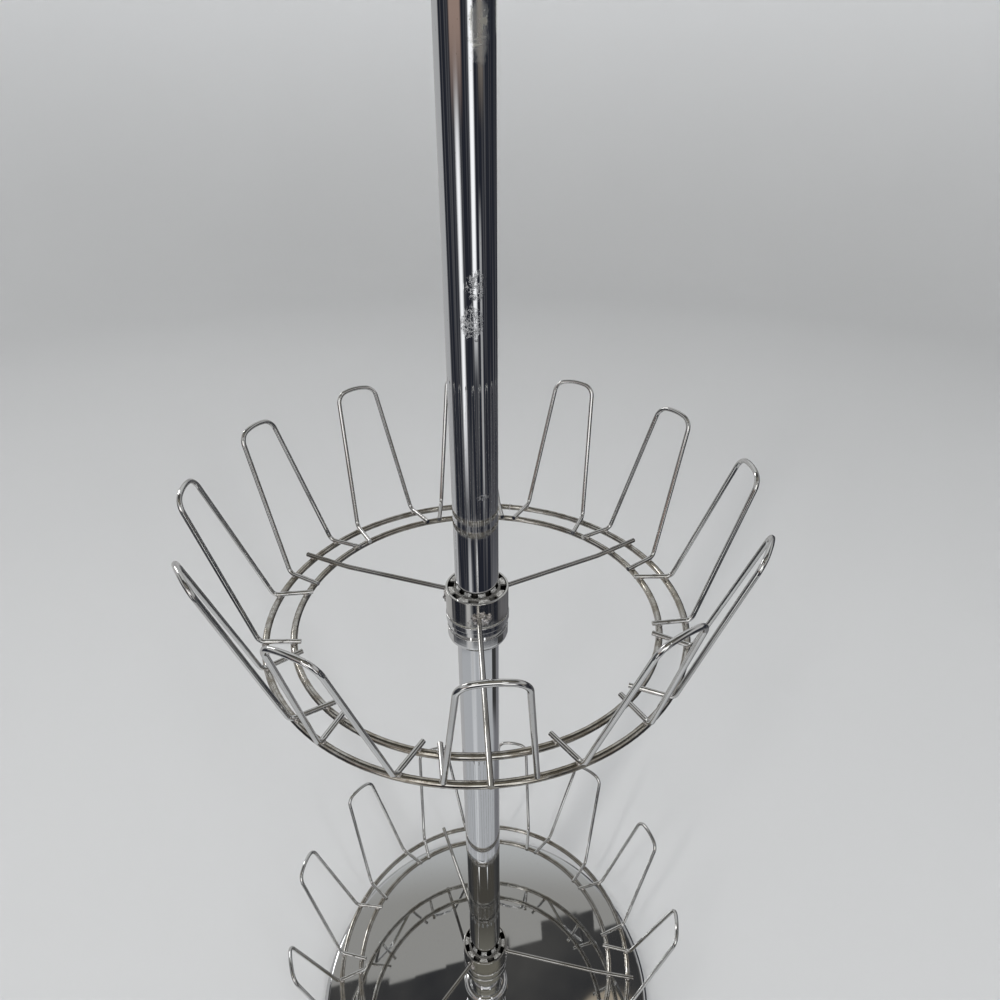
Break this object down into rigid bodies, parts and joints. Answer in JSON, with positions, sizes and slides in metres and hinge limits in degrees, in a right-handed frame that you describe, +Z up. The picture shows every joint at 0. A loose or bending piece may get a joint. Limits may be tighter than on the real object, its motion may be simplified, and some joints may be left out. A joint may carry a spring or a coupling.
{
  "type": "rotating shoe tower",
  "caption": "Free-standing chrome shoe tower: a round base and a pole carry wire tiers whose rings of upright loops turn by hand to hold shoes.",
  "frame": {"origin": "centre of the footprint, on the floor under the base pads", "axes": "+Z up along the pole; -Y is the front the tower was drawn from, +X to the right of it"},
  "size_m": [0.3052, 0.3052, 0.9346],
  "materials": {
    "mirror_chrome": "mirror-polished chrome plate",
    "pole_chrome": "polished chrome tube with light rubbing marks",
    "cap_chrome": "polished chrome",
    "cup_chrome": "turned and chromed",
    "collar_steel": "nickel-plated tube, faintly brushed around",
    "bush_metal": "plated bush, slightly rough",
    "ring_wire": "bright plated wire",
    "spoke_wire": "bright plated wire",
    "loop_wire": "bright plated wire",
    "zinc_steel": "bright zinc-plated steel",
    "washer_nylon": "natural nylon",
    "pad_rubber": "black rubber"
  },
  "bodies": {
    "root": {"base_plate": "mirror_chrome", "base_washer": "zinc_steel", "base_bolt": "zinc_steel", "foot_pads": "pad_rubber", "stem_plug": "zinc_steel", "foot_ferrule": "cup_chrome", "pole_stem": "pole_chrome", "pole_lower": "pole_chrome", "pole_middle": "pole_chrome", "pole_top": "pole_chrome", "top_cap": "cap_chrome", "thrust_washers": "washer_nylon", "support_cup_lower": "cup_chrome", "joint_stud_lower": "zinc_steel", "joint_nut_lower": "zinc_steel", "support_cup_middle": "cup_chrome", "joint_stud_middle": "zinc_steel", "joint_nut_middle": "zinc_steel", "support_cup_upper": "cup_chrome", "joint_stud_upper": "zinc_steel", "joint_nut_upper": "zinc_steel"},
    "tier_lower": {"outer_ring_lower": "ring_wire", "inner_ring_lower": "ring_wire", "hub_collar_lower": "collar_steel", "hub_bush_lower": "bush_metal", "spoke_lower_1": "spoke_wire", "spoke_lower_2": "spoke_wire", "spoke_lower_3": "spoke_wire", "shoe_loops_lower_1": "loop_wire", "shoe_loops_lower_2": "loop_wire", "shoe_loops_lower_3": "loop_wire", "shoe_loops_lower_4": "loop_wire", "shoe_loops_lower_5": "loop_wire", "shoe_loops_lower_6": "loop_wire"},
    "tier_middle": {"outer_ring_middle": "ring_wire", "inner_ring_middle": "ring_wire", "hub_collar_middle": "collar_steel", "hub_bush_middle": "bush_metal", "spoke_middle_1": "spoke_wire", "spoke_middle_2": "spoke_wire", "spoke_middle_3": "spoke_wire", "shoe_loops_middle_1": "loop_wire", "shoe_loops_middle_2": "loop_wire", "shoe_loops_middle_3": "loop_wire", "shoe_loops_middle_4": "loop_wire", "shoe_loops_middle_5": "loop_wire", "shoe_loops_middle_6": "loop_wire"},
    "tier_upper": {"outer_ring_upper": "ring_wire", "inner_ring_upper": "ring_wire", "hub_collar_upper": "collar_steel", "hub_bush_upper": "bush_metal", "spoke_upper_1": "spoke_wire", "spoke_upper_2": "spoke_wire", "spoke_upper_3": "spoke_wire", "shoe_loops_upper_1": "loop_wire", "shoe_loops_upper_2": "loop_wire", "shoe_loops_upper_3": "loop_wire", "shoe_loops_upper_4": "loop_wire", "shoe_loops_upper_5": "loop_wire", "shoe_loops_upper_6": "loop_wire"}
  },
  "joints": [
    {"name": "lower_tier_spin", "type": "hinge", "parent": "root", "child": "tier_lower", "pos_m": [0, 0, 0.062], "axis": [0, 0, 1], "continuous": true},
    {"name": "middle_tier_spin", "type": "hinge", "parent": "root", "child": "tier_middle", "pos_m": [0, 0, 0.442], "axis": [0, 0, 1], "continuous": true},
    {"name": "upper_tier_spin", "type": "hinge", "parent": "root", "child": "tier_upper", "pos_m": [0, 0, 0.822], "axis": [0, 0, 1], "continuous": true}
  ]
}
